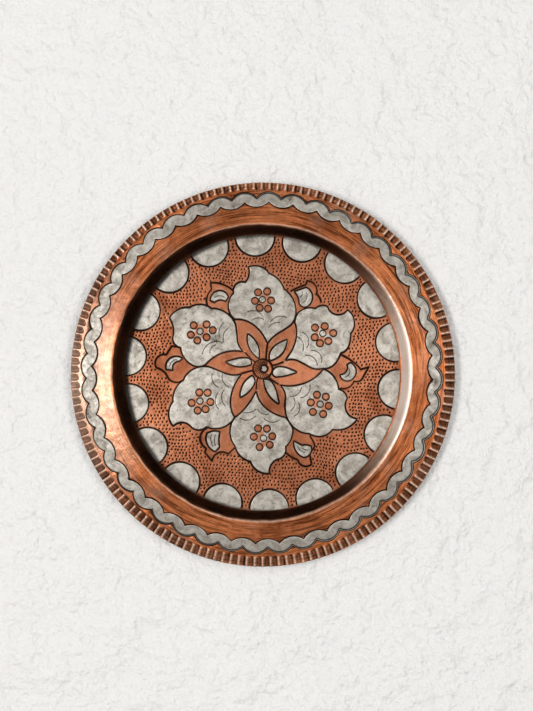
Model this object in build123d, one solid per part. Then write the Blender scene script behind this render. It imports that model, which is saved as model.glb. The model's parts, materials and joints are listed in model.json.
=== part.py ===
from build123d import *
from math import cos, sin, radians, hypot
import os

# Round copper wall tray: one sheet of copper raised into a flat-floored well with a
# down-sloping fluted flange, chased and tinned on the face, with a D-ring hanger behind.
# Millimetres. The tray lies face up, +Z is the face, +Y the top as it hangs.
# The origin is on the underside of the floor below the centre of the outer rim.

# ---- dish
RIM_RADIUS = 125.0
SHEET = 1.0
WELL_X, WELL_Y = -0.5, 1.2          # the well was raised slightly off the rim's centre
FOOT_RADIUS = 91.9                  # corner between floor and wall, before rounding
SHOULDER_RADIUS = 94.6              # corner between wall and flange, before rounding
SHOULDER_Z = 16.1
FLANGE_SLOPE = 0.24                 # fall of the flange per millimetre outwards
FOOT_BEND, SHOULDER_BEND = 1.2, 1.5  # inner bend radii
FLANGE_OVERRUN = 128.5              # flange before it is trimmed round

# ---- fluted edge
FLUTES = 148
FLUTE_INNER = 118.7
FLUTE_WIDTH, FLUTE_DEPTH = 4.5, 0.55

# ---- tinning and chased lines
TIN = 0.20                          # thickness of the tin skins
LINE = 0.90                         # width of a chased line
LINE_DEPTH = 0.25
TIN_INSET = 0.45                    # a tin skin stops at the edge of its line

# ---- scalloped chain on the flange
WAVES = 44
WAVE_START = 5.9                    # angle of the first outward lobe
CHAIN_OUT_LOBE, CHAIN_OUT_CUSP = 117.3, 113.5
CHAIN_IN_CUSP, CHAIN_IN_LOBE = 111.0, 107.5

# ---- half-moons round the floor
MOONS = 18
MOON_START = 13.0
MOON_RADIUS = 13.0
MOON_CENTRE = 89.7
FLOOR_EDGE = 90.85                  # flat floor ends where the foot bend begins

# ---- boss in the middle of the floor
BOSS_X, BOSS_Y, BOSS_RADIUS = -0.2, 3.7, 6.4
BOSS_DOT = (0.7, 3.8, 1.9)
BOSS_PUNCH = (-0.9, 4.1, 0.45)

# ---- rosettes on the blossoms
ROSETTE_RING = 2.2

# ---- hanger behind the top of the flange
HINGE_RADIUS = 105.0
HINGE_Z = 7.0
WIRE = 2.0
EYE_CLEARANCE = 0.05
STRAP, STRAP_WIDTH = 0.8, 9.0
D_HALF_WIDTH, D_BEND, D_SIDE = 7.5, 2.0, 5.0
FOOT_FROM, FOOT_TO = 100.8, 109.0    # strap foot along the flange
SOLDER, SOLDER_LIP = 0.2, 0.7

WELL = Pos(WELL_X, WELL_Y, 0)


# Blossoms: the first point, then one list per stretch of outline ending at a cusp.
# Each blossom also has its ring of punched rounds and its short curved strokes.
BLOSSOMS = [
    dict(start=(13.5, 8.3),
         edge=[[(17.6, 13.6), (21.9, 25.5), (20.8, 34.5)],
               [(21.9, 38.6), (22.8, 40.5)],
               [(28.1, 43.6), (34.4, 43.4)],
               [(37.8, 45.3), (42.6, 44.6)],
               [(48.0, 39.4), (55.5, 42.7)],
               [(60.2, 35.0), (57.7, 26.8)],
               [(57.5, 22.9), (55.4, 17.0), (51.0, 14.0)],
               [(49.3, 9.9), (45.6, 5.5), (39.2, 3.8)],
               [(31.5, 4.4), (23.2, 8.9), (13.5, 8.3)]],
         dot=(39.3, 27.0),
         rounds=[(34.2, 30.8), (40.6, 31.7), (46.2, 27.2), (43.0, 22.0), (37.4, 20.5), (34.0, 24.4)],
         strokes=[[(25.8, 27.8), (30.0, 22.9), (28.8, 17.7)],
                  [(22.8, 24.8), (26.5, 20.3), (26.2, 15.5)],
                  [(31.8, 15.8), (37.4, 13.4), (38.5, 8.0)],
                  [(28.1, 12.7), (33.3, 11.0), (35.7, 6.1)]]),
    dict(start=(-9.7, 70.8),
         edge=[[(-5.6, 71.6), (-0.4, 70.5), (4.1, 66.5)],
               [(9.3, 63.5), (14.0, 56.3)],
               [(18.3, 52.0), (21.8, 43.4), (18.3, 32.6)],
               [(11.6, 28.1), (6.8, 24.7), (3.0, 20.2)],
               [(-0.4, 26.6), (-7.8, 33.7), (-18.5, 36.3)],
               [(-22.8, 43.2), (-19.4, 53.5)],
               [(-17.2, 59.6), (-11.6, 60.6)],
               [(-9.3, 65.5), (-9.7, 70.8)]],
         dot=(-0.4, 49.2),
         rounds=[(-3.2, 54.0), (2.8, 54.6), (5.4, 48.6), (3.4, 43.2), (-2.2, 43.8), (-5.2, 48.4)],
         strokes=[[(-10.1, 41.1), (-5.2, 41.9), (-0.2, 38.2)],
                  [(-7.1, 35.5), (-3.4, 37.2), (0.4, 36.3)],
                  [(5.2, 34.8), (9.6, 38.0), (15.7, 37.4)],
                  [(3.7, 30.7), (6.8, 33.5), (11.2, 34.1)]]),
    dict(start=(-61.6, 37.3),
         edge=[[(-56.5, 42.4), (-48.3, 43.9)],
               [(-41.4, 46.1), (-33.8, 43.3)],
               [(-25.2, 41.3), (-17.9, 32.5), (-16.9, 23.7), (-11.5, 14.3)],
               [(-20.4, 15.4), (-29.8, 12.6), (-37.8, 6.4)],
               [(-42.5, 5.0), (-50.6, 9.3), (-54.1, 17.5)],
               [(-58.3, 20.3), (-59.0, 26.1)],
               [(-59.2, 31.8), (-61.6, 37.3)]],
         dot=(-41.3, 28.4),
         rounds=[(-45.5, 32.3), (-37.0, 32.9), (-33.0, 29.1), (-37.0, 24.5), (-43.1, 22.4), (-47.4, 26.1)],
         strokes=[[(-25.6, 34.0), (-28.5, 30.0), (-28.4, 24.6)],
                  [(-23.0, 30.2), (-25.9, 26.1), (-25.6, 21.3)],
                  [(-39.6, 13.8), (-35.5, 20.2), (-26.3, 20.9)],
                  [(-34.9, 14.2), (-33.8, 17.5), (-31.2, 19.6)]]),
    dict(start=(-13.5, 0.8),
         edge=[[(-25.2, 1.1), (-37.5, 5.4), (-46.1, 3.5), (-52.3, -3.5)],
               [(-57.8, -9.6), (-59.2, -17.7)],
               [(-62.0, -25.2), (-59.0, -34.0)],
               [(-52.3, -31.6), (-46.9, -34.9)],
               [(-42.0, -36.5), (-37.1, -34.5)],
               [(-26.5, -34.9), (-18.5, -28.1)],
               [(-21.3, -18.9), (-18.9, -7.8), (-13.5, 0.8)]],
         dot=(-41.4, -17.4),
         rounds=[(-41.8, -11.8), (-36.4, -12.0), (-34.5, -18.1), (-37.7, -22.8), (-42.9, -23.7),
                 (-46.9, -18.7)],
         strokes=[[(-33.4, 0.2), (-33.0, -4.4), (-29.3, -8.4)],
                  [(-26.7, 0.2), (-26.2, -4.4), (-22.2, -8.4)],
                  [(-29.5, -12.2), (-31.3, -17.0), (-29.1, -22.6)],
                  [(-25.4, -9.9), (-27.2, -15.0), (-24.6, -20.7)]]),
    dict(start=(-4.3, -9.7),
         edge=[[(-10.1, -20.0), (-18.3, -28.0)],
               [(-21.8, -37.0), (-18.5, -47.1)],
               [(-14.2, -54.1), (-8.2, -57.1)],
               [(-3.3, -63.3), (4.2, -65.0)],
               [(5.2, -59.7), (9.5, -55.7)],
               [(14.0, -53.0), (15.0, -47.5)],
               [(19.0, -41.6), (19.6, -35.3)],
               [(17.4, -31.4), (14.8, -28.1)],
               [(4.9, -24.2), (-1.0, -18.9), (-4.3, -9.7)]],
         dot=(0.4, -41.9),
         rounds=[(-3.2, -35.4), (2.6, -35.6), (6.2, -40.6), (4.5, -46.2), (-2.2, -47.7), (-6.0, -40.9)],
         strokes=[[(-12.9, -24.6), (-8.6, -25.0), (-4.6, -22.8)],
                  [(-3.4, -22.6), (-1.0, -25.4), (4.0, -25.9)],
                  [(-14.9, -28.7), (-10.0, -30.0), (-4.9, -27.2)],
                  [(0.6, -28.6), (4.2, -31.0), (10.8, -29.8)]]),
    dict(start=(39.6, 3.7),
         edge=[[(34.4, -1.6), (23.2, -6.8), (10.0, -6.3)],
               [(14.8, -15.6), (14.6, -24.2), (19.8, -34.4), (30.4, -38.9)],
               [(37.8, -40.8), (45.8, -36.2)],
               [(53.8, -35.7), (62.0, -29.0)],
               [(54.8, -24.0), (55.6, -15.8)],
               [(53.8, -12.0), (49.8, -9.5)],
               [(47.4, -2.4), (39.6, 3.7)]],
         dot=(37.6, -19.5),
         rounds=[(35.5, -13.3), (41.3, -14.6), (43.2, -20.6), (39.6, -26.0), (32.8, -24.6), (31.4, -18.4)],
         strokes=[[(25.3, -8.4), (23.4, -12.4), (18.0, -14.3)],
                  [(30.9, -6.9), (29.7, -12.2), (24.7, -15.4)],
                  [(20.4, -15.8), (21.0, -19.6), (18.3, -23.6)],
                  [(23.2, -18.4), (24.2, -22.5), (20.6, -27.3)]]),
]

# Leaves between the blossoms: tinned lens, base to tip and back.
LEAVES = [
    dict(start=(6.2, 2.1), edge=[[(8.4, 4.7), (15.8, 4.5), (23.3, 1.5)], [(15.8, -0.8), (6.2, 0.2), (6.2, 2.1)]]),
    dict(start=(4.5, 9.0), edge=[[(5.0, 15.6), (9.4, 20.2), (16.1, 23.2)], [(13.9, 15.5), (4.5, 9.0)]]),
    dict(start=(-2.4, 10.2), edge=[[(-2.9, 18.4), (-10.1, 27.0)], [(-9.0, 17.0), (-2.4, 10.2)]]),
    dict(start=(-7.7, 6.4), edge=[[(-16.8, 5.0), (-25.0, 8.3)], [(-16.8, 10.7), (-7.7, 9.3), (-7.7, 6.4)]]),
    dict(start=(-7.0, -0.5), edge=[[(-13.1, -6.2), (-15.1, -15.2)], [(-8.2, -10.4), (-5.3, -3.2), (-7.0, -0.5)]]),
    dict(start=(0.2, -3.2), edge=[[(2.4, -11.2), (10.6, -19.5)], [(9.1, -11.4), (3.4, -3.2), (0.2, -3.2)]]),
]

# Chased lines that part neighbouring leaves, from the boss to a blossom's inner tip.
SPOKES = [((5.8, 5.7), (10.0, 6.9), (13.5, 8.3)), ((2.0, 9.8), (2.3, 15.0), (3.0, 20.2)),
          ((-5.0, 8.0), (-8.4, 11.0), (-11.5, 14.3)), ((-6.4, 2.7), (-9.8, 1.9), (-13.5, 0.8)),
          ((-3.2, -1.9), (-4.2, -5.6), (-4.3, -9.7)), ((3.4, -1.6), (6.6, -4.1), (10.0, -6.3))]

# Buds between the outer lobes: chased copper outline, and a tinned patch with its strokes.
BUDS = [
    dict(path=[(51.2, 13.0), [(57.0, 9.9), (64.3, 3.3)], [(69.6, 5.0)], [(66.9, 0.4), (65.0, -3.1)],
               [(62.6, -4.6), (59.8, -4.4)], [(56.0, -8.6), (51.0, -9.1)]],
         start=(57.6, 7.4), edge=[[(60.9, 2.0), (58.7, -2.7)], [(54.0, -3.8), (50.9, -0.4)],
                                  [(54.6, 1.4), (55.7, 6.4)], [(57.6, 7.4)]],
         strokes=[[(56.6, 3.6), (56.6, 0.4), (54.0, -1.6)]]),
    dict(path=[(18.3, 54.8), [(23.0, 57.1), (28.1, 58.9)], [(29.0, 61.5)], [(33.6, 59.6), (35.1, 52.8)],
               [(37.0, 50.8), (38.1, 47.6)]],
         start=(21.0, 54.3), edge=[[(28.4, 56.9)], [(32.0, 52.6), (30.3, 46.1)], [(25.8, 44.9), (23.9, 47.2)],
                                   [(23.2, 51.2), (21.0, 54.3)]],
         strokes=[[(26.2, 47.4), (28.6, 49.8), (28.6, 53.8)], [(24.2, 50.8), (25.8, 52.2), (26.0, 54.2)]]),
    dict(path=[(-36.7, 46.0), [(-37.0, 50.0), (-33.9, 55.6)], [(-34.4, 60.3)], [(-26.6, 59.3), (-18.6, 54.1)]],
         start=(-34.2, 48.9), edge=[[(-31.5, 53.9), (-23.0, 51.1)], [(-24.5, 48.2)],
                                    [(-28.8, 49.2), (-31.9, 47.8)], [(-34.2, 48.9)]],
         strokes=[[(-31.6, 50.6), (-28.6, 51.8), (-25.4, 50.8)]]),
    dict(path=[(-53.9, 17.9), [(-59.9, 18.7)], [(-63.5, 13.0)], [(-70.0, 10.3), (-70.0, 4.4)],
               [(-65.0, 1.8), (-62.9, -1.0)], [(-58.8, -4.9), (-53.0, -4.0)]],
         start=(-63.3, 3.7), edge=[[(-60.9, 10.2), (-53.2, 10.5)], [(-55.1, 9.0)],
                                   [(-58.9, 7.0), (-59.5, 3.0)], [(-63.3, 3.7)]],
         strokes=[[(-61.2, 5.4), (-59.8, 8.4), (-56.8, 9.8)]]),
    dict(path=[(-37.2, -35.5), [(-41.0, -39.8), (-37.2, -48.4)], [(-38.2, -51.2)], [(-33.4, -57.0)],
               [(-30.4, -52.0), (-22.9, -52.2)], [(-18.7, -48.4)]],
         start=(-36.4, -39.0), edge=[[(-36.0, -46.0), (-31.5, -50.3)], [(-28.9, -47.6)],
                                     [(-29.4, -42.4), (-28.6, -37.9)], [(-33.0, -37.6), (-36.4, -39.0)]],
         strokes=[[(-33.9, -39.4), (-34.2, -43.0), (-33.0, -46.8)], [(-31.2, -39.6), (-31.8, -43.0), (-31.2, -46.6)]]),
    dict(path=[(15.3, -51.5), [(20.0, -54.9), (22.9, -56.0)], [(26.2, -60.0), (31.9, -58.9)],
               [(31.0, -52.0), (33.9, -46.8), (31.0, -40.3)]],
         start=(20.5, -44.1), edge=[[(21.9, -50.0), (26.7, -54.1)], [(31.0, -51.6), (31.4, -47.4)],
                                    [(28.6, -46.6), (25.7, -46.9)], [(20.5, -44.1)]],
         strokes=[[(23.0, -47.2), (24.6, -49.8), (27.6, -51.2)], [(26.0, -48.4), (27.4, -49.4), (29.4, -49.6)]]),
]


def polar(radius, degrees):
    return (radius * cos(radians(degrees)), radius * sin(radians(degrees)))


def stretches(start, edge):
    """Lines and arcs joined end to end from a start point; longer runs are smooth chains of arcs."""
    edges, here = [], start
    for points in edge:
        run = [here, *points]
        if len(run) == 2:
            edges.append(Line(*run))
        elif len(run) == 3:
            edges.append(ThreePointArc(*run))
        else:
            curve, n = Spline(*run), len(run) - 1
            edges += [ThreePointArc(curve @ (k / n), curve @ ((k + 0.5) / n), curve @ ((k + 1) / n))
                      for k in range(n)]
        here = run[-1]
    return edges


def outline(item):
    """Face inside an item's closed outline."""
    return make_face(stretches(item["start"], item["edge"]))


def stroke(points, width=LINE):
    """Round-ended curved stroke through three points."""
    return SlotArc(ThreePointArc(*points), width)


def skin(face):
    """Tin skin lying on the floor over a flat face."""
    return extrude(Pos(0, 0, SHEET) * face, TIN)


def chase(face):
    """Tool for a chased line of a given plan in the floor."""
    return extrude(Pos(0, 0, SHEET - LINE_DEPTH) * face, LINE_DEPTH + 0.3)


def rim_of(face):
    """Line-wide band that follows a face's outline."""
    return offset(face, amount=LINE / 2) - offset(face, amount=-LINE / 2)


def flange_z(radius):
    return SHOULDER_Z - FLANGE_SLOPE * (radius - SHOULDER_RADIUS)


def under_flange_z(radius):
    return flange_z(radius) - SHEET * hypot(1, FLANGE_SLOPE)


def cone_layer(inner, outer, top, bottom):
    """Ring between two cones parallel to the flange; top and bottom are heights above it."""
    lift = flange_z
    corners = [(inner, lift(inner) + bottom), (outer, lift(outer) + bottom),
               (outer, lift(outer) + top), (inner, lift(inner) + top)]
    return revolve(Plane.XZ * make_face(Polyline(*corners, close=True)), Axis.Z, 360)


# ---- dish -----------------------------------------------------------------------------
def sheet_section():
    """Half section of the bare dish, the axis on the left."""
    wall = (SHOULDER_Z - SHEET) / (SHOULDER_RADIUS - FOOT_RADIUS)
    wall_len = hypot(1, wall)
    # underside corners: where the offset floor, wall and flange lines meet
    foot_under = FOOT_RADIUS + SHEET * (wall_len - 1) / wall
    flange_drop = SHEET * hypot(1, FLANGE_SLOPE)
    wall_shift = SHEET * wall_len / wall
    shoulder_under = SHOULDER_RADIUS + (wall * wall_shift - flange_drop) / (wall + FLANGE_SLOPE)
    face = make_face(Polyline(
        (0, 0), (foot_under, 0), (shoulder_under, under_flange_z(shoulder_under)),
        (FLANGE_OVERRUN, under_flange_z(FLANGE_OVERRUN)), (FLANGE_OVERRUN, flange_z(FLANGE_OVERRUN)),
        (SHOULDER_RADIUS, SHOULDER_Z), (FOOT_RADIUS, SHEET), (0, SHEET), close=True))
    bends = [((FOOT_RADIUS, SHEET), FOOT_BEND), ((foot_under, 0), FOOT_BEND + SHEET),
             ((SHOULDER_RADIUS, SHOULDER_Z), SHOULDER_BEND + SHEET),
             ((shoulder_under, under_flange_z(shoulder_under)), SHOULDER_BEND)]
    for point, radius in bends:
        face = fillet(face.vertices().sort_by_distance((*point, 0))[0], radius)
    return Plane.XZ * face


def flute_tool(width, depth):
    """Round-ended gouge lying in the face of the flange."""
    clear = 0.15
    radius = (width ** 2 / 4 + depth ** 2) / (2 * depth)
    half = (radius ** 2 - (radius - depth - clear) ** 2) ** 0.5
    start = FLUTE_INNER + width / 2
    length = FLANGE_OVERRUN + 1 - start
    low, high = -depth, clear
    whole = make_face([ThreePointArc((-half, high), (0, low), (half, high)), Line((half, high), (-half, high))])
    sag = radius - (radius ** 2 - half ** 2 / 4) ** 0.5
    right = make_face([Line((0, high), (0, low)),
                       ThreePointArc((0, low), (half / 2, low + sag), (half, high)),
                       Line((half, high), (0, high))])
    gouge = extrude(Plane.YZ * whole, length) + revolve(Plane.XZ * right, Axis.Z, 360)
    lean = Plane(origin=(start, 0, flange_z(start)), x_dir=(1, 0, -FLANGE_SLOPE), z_dir=(FLANGE_SLOPE, 0, 1))
    return lean.location * gouge


def build_dish(line_faces):
    gouge = flute_tool(FLUTE_WIDTH, FLUTE_DEPTH)
    flutes = [Rot(Z=i * 360 / FLUTES) * gouge for i in range(FLUTES)]
    dish = WELL * (revolve(sheet_section(), Axis.Z, 360) - flutes)
    dish = dish & Pos(0, 0, 5) * Cylinder(RIM_RADIUS, 60)
    for face in line_faces:
        dish -= chase(face)
    return dish


# ---- tin ------------------------------------------------------------------------------
def blossom_skin(item):
    face = offset(outline(item), amount=-TIN_INSET)
    for x, y in item["rounds"]:
        face -= Pos(x, y) * Circle(ROSETTE_RING)
    for points in item["strokes"]:
        face -= stroke(points)
    return skin(face)


def bud_skin(item):
    face = outline(item)
    for points in item["strokes"]:
        face -= stroke(points)
    return skin(face)


def moon(index, outer, inner=0.0):
    """Disc or ring about a half-moon's centre, kept to the flat of the floor."""
    x, y = polar(MOON_CENTRE, MOON_START + index * 360 / MOONS)
    face = Circle(outer) - Circle(inner) if inner else Circle(outer)
    return WELL * ((Pos(x, y) * face) & Circle(FLOOR_EDGE))


def chain_skin():
    step = 360 / WAVES
    outer, inner = [], []
    for i in range(WAVES):
        a = WAVE_START + i * step
        outer.append(ThreePointArc(polar(CHAIN_OUT_CUSP, a - step / 2), polar(CHAIN_OUT_LOBE, a),
                                   polar(CHAIN_OUT_CUSP, a + step / 2)))
        inner.append(ThreePointArc(polar(CHAIN_IN_CUSP, a), polar(CHAIN_IN_LOBE, a + step / 2),
                                   polar(CHAIN_IN_CUSP, a + step)))
    band = extrude(make_face(outer) - make_face(inner), 30)
    return WELL * (band & cone_layer(CHAIN_IN_LOBE - 2, CHAIN_OUT_LOBE + 2, TIN, 0))


# ---- hanger ---------------------------------------------------------------------------
HINGE = Pos(WELL_X, WELL_Y + HINGE_RADIUS, HINGE_Z)


def sector(radius_from, radius_to, top, bottom, width):
    """Piece of a cone layer under the top of the flange, cut to a width."""
    reach = (radius_from + radius_to) / 2
    block = Pos(0, reach, 0) * Box(width, radius_to - radius_from, 80)
    return cone_layer(radius_from - 3, radius_to + 3, top, bottom) & block


def build_solder():
    under = -SHEET * hypot(1, FLANGE_SLOPE)
    lip = SOLDER_LIP
    return WELL * sector(FOOT_FROM - lip, FOOT_TO + lip, under, under - SOLDER, STRAP_WIDTH + 2 * lip)


def build_lug():
    under = -SHEET * hypot(1, FLANGE_SLOPE) - SOLDER
    foot = WELL * sector(FOOT_FROM, FOOT_TO, under, under - STRAP, STRAP_WIDTH)
    bore = WIRE / 2 + EYE_CLEARANCE
    leg_top = under_flange_z(HINGE_RADIUS) - SOLDER - STRAP / 2 - HINGE_Z
    eye = Circle(bore + STRAP) + Pos(-(bore + STRAP / 2), leg_top / 2) * Rectangle(STRAP, leg_top)
    eye -= Circle(bore)
    loop = extrude(Plane.YZ * eye, STRAP_WIDTH / 2, both=True)
    return foot + HINGE * loop


def build_ring():
    w, b, s = D_HALF_WIDTH, D_BEND, D_SIDE
    d = b * (1 - cos(radians(45)))
    path = Wire([Line((-w + b, 0), (w - b, 0)), ThreePointArc((w - b, 0), (w - d, d), (w, b)),
                 Line((w, b), (w, s)), ThreePointArc((w, s), (0, s + w), (-w, s)),
                 Line((-w, s), (-w, b)), ThreePointArc((-w, b), (-w + d, d), (-w + b, 0))])
    return HINGE * sweep(Plane(origin=(-w + b, 0, 0), z_dir=(1, 0, 0)) * Circle(WIRE / 2), path)


# ---- parts ----------------------------------------------------------------------------
lines = [rim_of(outline(item)) for item in BLOSSOMS + LEAVES]
lines += [stroke(points) for points in SPOKES]
lines += [trace(stretches(item["path"][0], item["path"][1:]), LINE) for item in BUDS]
lines += [moon(i, MOON_RADIUS + LINE / 2, MOON_RADIUS - LINE / 2) for i in range(MOONS)]
lines += [rim_of(Pos(BOSS_X, BOSS_Y) * Circle(BOSS_RADIUS))]

parts = {"dish": build_dish(lines), "tin_chain": chain_skin()}
for i in range(MOONS):
    parts[f"tin_moon_{i + 1:02d}"] = skin(moon(i, MOON_RADIUS - TIN_INSET))
for i, item in enumerate(BLOSSOMS):
    parts[f"tin_blossom_{i + 1}"] = blossom_skin(item)
for i, item in enumerate(LEAVES):
    parts[f"tin_leaf_{i + 1}"] = skin(offset(outline(item), amount=-TIN_INSET))
for i, item in enumerate(BUDS):
    parts[f"tin_bud_{i + 1}"] = bud_skin(item)
dot, punch = Pos(*BOSS_DOT[:2]) * Circle(BOSS_DOT[2]), Pos(*BOSS_PUNCH[:2]) * Circle(BOSS_PUNCH[2])
parts["tin_boss"] = skin(dot - punch)
parts["hanger_solder"] = build_solder()
parts["hanger_lug"] = build_lug()
parts["hanger_ring"] = build_ring()

os.makedirs("parts", exist_ok=True)
for name, part in parts.items():
    export_step(part, f"parts/{name}.step")
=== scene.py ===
import bpy, json, math, random
import numpy as np
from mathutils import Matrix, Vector, noise
from mathutils.kdtree import KDTree
from mathutils.geometry import delaunay_2d_cdt


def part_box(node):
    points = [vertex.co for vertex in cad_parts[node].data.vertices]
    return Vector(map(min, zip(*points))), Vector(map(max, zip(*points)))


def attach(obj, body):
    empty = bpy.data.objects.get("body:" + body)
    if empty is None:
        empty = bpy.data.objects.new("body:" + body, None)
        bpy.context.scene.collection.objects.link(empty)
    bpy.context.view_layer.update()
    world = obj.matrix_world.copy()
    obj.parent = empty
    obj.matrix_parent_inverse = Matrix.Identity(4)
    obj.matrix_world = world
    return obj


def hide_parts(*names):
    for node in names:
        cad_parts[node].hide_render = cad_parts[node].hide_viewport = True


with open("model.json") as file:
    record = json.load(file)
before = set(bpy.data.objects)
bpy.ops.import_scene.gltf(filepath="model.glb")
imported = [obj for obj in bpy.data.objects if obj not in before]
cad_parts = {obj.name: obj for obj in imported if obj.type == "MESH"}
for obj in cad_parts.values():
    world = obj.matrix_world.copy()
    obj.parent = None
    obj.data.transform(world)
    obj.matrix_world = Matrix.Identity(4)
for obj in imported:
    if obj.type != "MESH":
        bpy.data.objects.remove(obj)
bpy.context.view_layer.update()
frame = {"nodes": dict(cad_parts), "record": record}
NODES = frame["nodes"]
MM = 0.001
rng = random.Random(7)

# ------------------------------------------------------------------ dimensions, in mm
WELL = np.array(frame["record"]["mounts"][0]["pos_m"][:2]) * 1000     # centre of the well
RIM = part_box("dish")[1][0] * 1000                                     # radius of the outer edge
SHEET = 1.0
TIN_TOP = 1.2
FLOOR_R = 90.85
FOOT, SHOULDER, SHOULDER_Z, SLOPE = 91.9, 94.6, 16.1, 0.24
FOOT_BEND, SHOULDER_BEND = 1.2, 2.5
FLUTES, WAVES = 148, 44
WAVE_START = math.radians(5.9)                                        # first outward lobe of the chain
FLUTE_IN = 118.7                                                      # flutes start to sink here
SEAM = 118.45                                                         # flange and flutes meet here
BOSS, BOSS_R = (-0.2, 3.7), 6.4
SWIRL_STROKES, SWIRL_IN, SWIRL_LONG = 19, 2.75, 2.9
SHADOW_SIDE = math.radians(160)                                       # where the painted shadow and deposit at the wall's foot are darkest and the wall's dark band reaches highest, toward the window lamp
HIGHLIGHT_SIDE = math.radians(184)                                     # where the flange is painted with a highlight, toward the window lamp
DAYLIGHT = (1.0, 0.985, 0.96)
ROSETTE_DOTS = [(39.3, 27.0), (-0.4, 49.2), (-41.3, 28.4), (-41.4, -17.4), (0.4, -41.9), (37.6, -19.5)]

# chased lines in bare copper, through these points
LEAF_TIPS = [(38.0, 3.0), (20.9, 34.5), (-18.2, 36.4), (-37.6, 6.4), (-18.2, -27.0), (14.9, -27.7)]
SPOKES = [((5.8, 5.7), (10.0, 6.9), (13.5, 8.3)), ((2.0, 9.8), (2.3, 15.0), (3.0, 20.2)),
          ((-5.0, 8.0), (-8.4, 11.0), (-11.5, 14.3)), ((-6.4, 2.7), (-9.8, 1.9), (-13.5, 0.8)),
          ((-3.2, -1.9), (-4.2, -5.6), (-4.3, -9.7)), ((3.4, -1.6), (6.6, -4.1), (10.0, -6.3))]
BUDS = [
    [(51.2, 13.0), [(57.0, 9.9), (64.3, 3.3)], [(69.6, 5.0)], [(66.9, 0.4), (65.0, -3.1)],
     [(62.6, -4.6), (59.8, -4.4)], [(56.0, -8.6), (51.0, -9.1)]],
    [(18.3, 54.8), [(23.0, 57.1), (28.1, 58.9)], [(29.0, 61.5)], [(33.6, 59.6), (35.1, 52.8)],
     [(37.0, 50.8), (38.1, 47.6)]],
    [(-36.7, 46.0), [(-37.0, 50.0), (-33.9, 55.6)], [(-34.4, 60.3)], [(-26.6, 59.3), (-18.6, 54.1)]],
    [(-53.9, 17.9), [(-59.9, 18.7)], [(-63.5, 13.0)], [(-70.0, 10.3), (-70.0, 4.4)],
     [(-65.0, 1.8), (-62.9, -1.0)], [(-58.8, -4.9), (-53.0, -4.0)]],
    [(-37.2, -35.5), [(-41.0, -39.8), (-37.2, -48.4)], [(-38.2, -51.2)], [(-33.4, -57.0)],
     [(-30.4, -52.0), (-22.9, -52.2)], [(-18.7, -48.4)]],
    [(15.3, -51.5), [(20.0, -54.9), (22.9, -56.0)], [(26.2, -60.0), (31.9, -58.9)],
     [(31.0, -52.0), (33.9, -46.8), (31.0, -40.3)]],
]


# ------------------------------------------------------------------ plan geometry
def arc(a, b, c, step=0.3):
    """Points on the arc through a, b and c, without the last."""
    a, b, c = (np.array(p, float) for p in (a, b, c))
    d = 2 * ((b - a)[0] * (c - a)[1] - (b - a)[1] * (c - a)[0])
    if abs(d) < 1e-6:
        n = max(2, int(np.linalg.norm(c - a) / step))
        return [a + (c - a) * i / n for i in range(n)]
    u, v = b - a, c - a
    o = a + np.array([v[1] * u.dot(u) - u[1] * v.dot(v), u[0] * v.dot(v) - v[0] * u.dot(u)]) / d
    r = np.linalg.norm(a - o)
    t0, t1, t2 = (math.atan2(*(p - o)[::-1]) for p in (a, b, c))
    sweep = (t2 - t0) % (2 * math.pi)
    if (t1 - t0) % (2 * math.pi) > sweep:
        sweep -= 2 * math.pi
    n = max(2, int(abs(sweep) * r / step))
    return [o + r * np.array([math.cos(t0 + sweep * i / n), math.sin(t0 + sweep * i / n)]) for i in range(n)]


def catmull(points, step=0.3, closed=False, corners=None):
    """Smooth curve through points, broken at corners."""
    p, n, out = np.asarray(points, float), len(points), []
    for i in range(n if closed else n - 1):
        a, b = p[i], p[(i + 1) % n]
        before = p[i - 1] if (closed or i) else 2 * a - b
        after = p[(i + 2) % n] if (closed or i < n - 2) else 2 * b - a
        if corners is not None and corners[i]:
            before = 2 * a - b
        if corners is not None and corners[(i + 1) % n]:
            after = 2 * b - a
        k = max(1, int(math.ceil(np.linalg.norm(b - a) / step)))
        for j in range(k):
            t = j / k
            out.append(0.5 * (2 * a + (b - before) * t + (2 * before - 5 * a + 4 * b - after) * t * t
                              + (3 * a - before - 3 * b + after) * t ** 3))
    if not closed:
        out.append(p[-1])
    return np.array(out)


def path_points(start, stretches):
    """A line from start through stretches of one, two or more points: straight, arc or curve."""
    out, here = [], start
    for s in stretches:
        run = [here, *s]
        if len(run) == 2:
            out += arc(run[0], (np.array(run[0]) + run[1]) / 2, run[1])
        elif len(run) == 3:
            out += arc(*run)
        else:
            out += list(catmull(run)[:-1])
        here = run[-1]
    return np.array(out + [np.array(here, float)])


def top_loops(name):
    """Closed outlines of a node's upward faces as arrays of x, y in mm, the metal on the left."""
    mesh = NODES[name].data
    index, where, spots = [], {}, []
    for v in mesh.vertices:
        key = tuple(round(c * 1000, 3) for c in v.co)
        if key not in where:
            where[key] = len(spots)
            spots.append(key)
        index.append(where[key])
    edges = set()
    for p in mesh.polygons:
        if p.normal.z > 0.5:
            ids = [index[i] for i in p.vertices]
            for e in zip(ids, ids[1:] + ids[:1]):
                if e[::-1] in edges:
                    edges.remove(e[::-1])
                else:
                    edges.add(e)
    follow = {}
    for a, b in edges:
        follow.setdefault(a, []).append(b)
    loops = []
    while follow:
        here = next(iter(follow))
        loop = []
        while here in follow:
            loop.append(spots[here][:2])
            nxt = follow[here].pop()
            if not follow[here]:
                del follow[here]
            here = nxt
        loops.append(np.array(loop))
    return [l for l in loops if len(l) > 3]


def refine(loop, step=0.4):
    """A CAD outline with its tessellation smoothed away and its corners kept."""
    d = np.roll(loop, -1, 0) - loop
    keep = np.hypot(*d.T) > 0.02
    loop = loop[keep]
    d = np.roll(loop, -1, 0) - loop
    a = np.arctan2(d[:, 1], d[:, 0])
    turn = np.abs((a - np.roll(a, 1) + np.pi) % (2 * np.pi) - np.pi)
    return catmull(loop, step, True, turn > math.radians(38))


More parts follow.
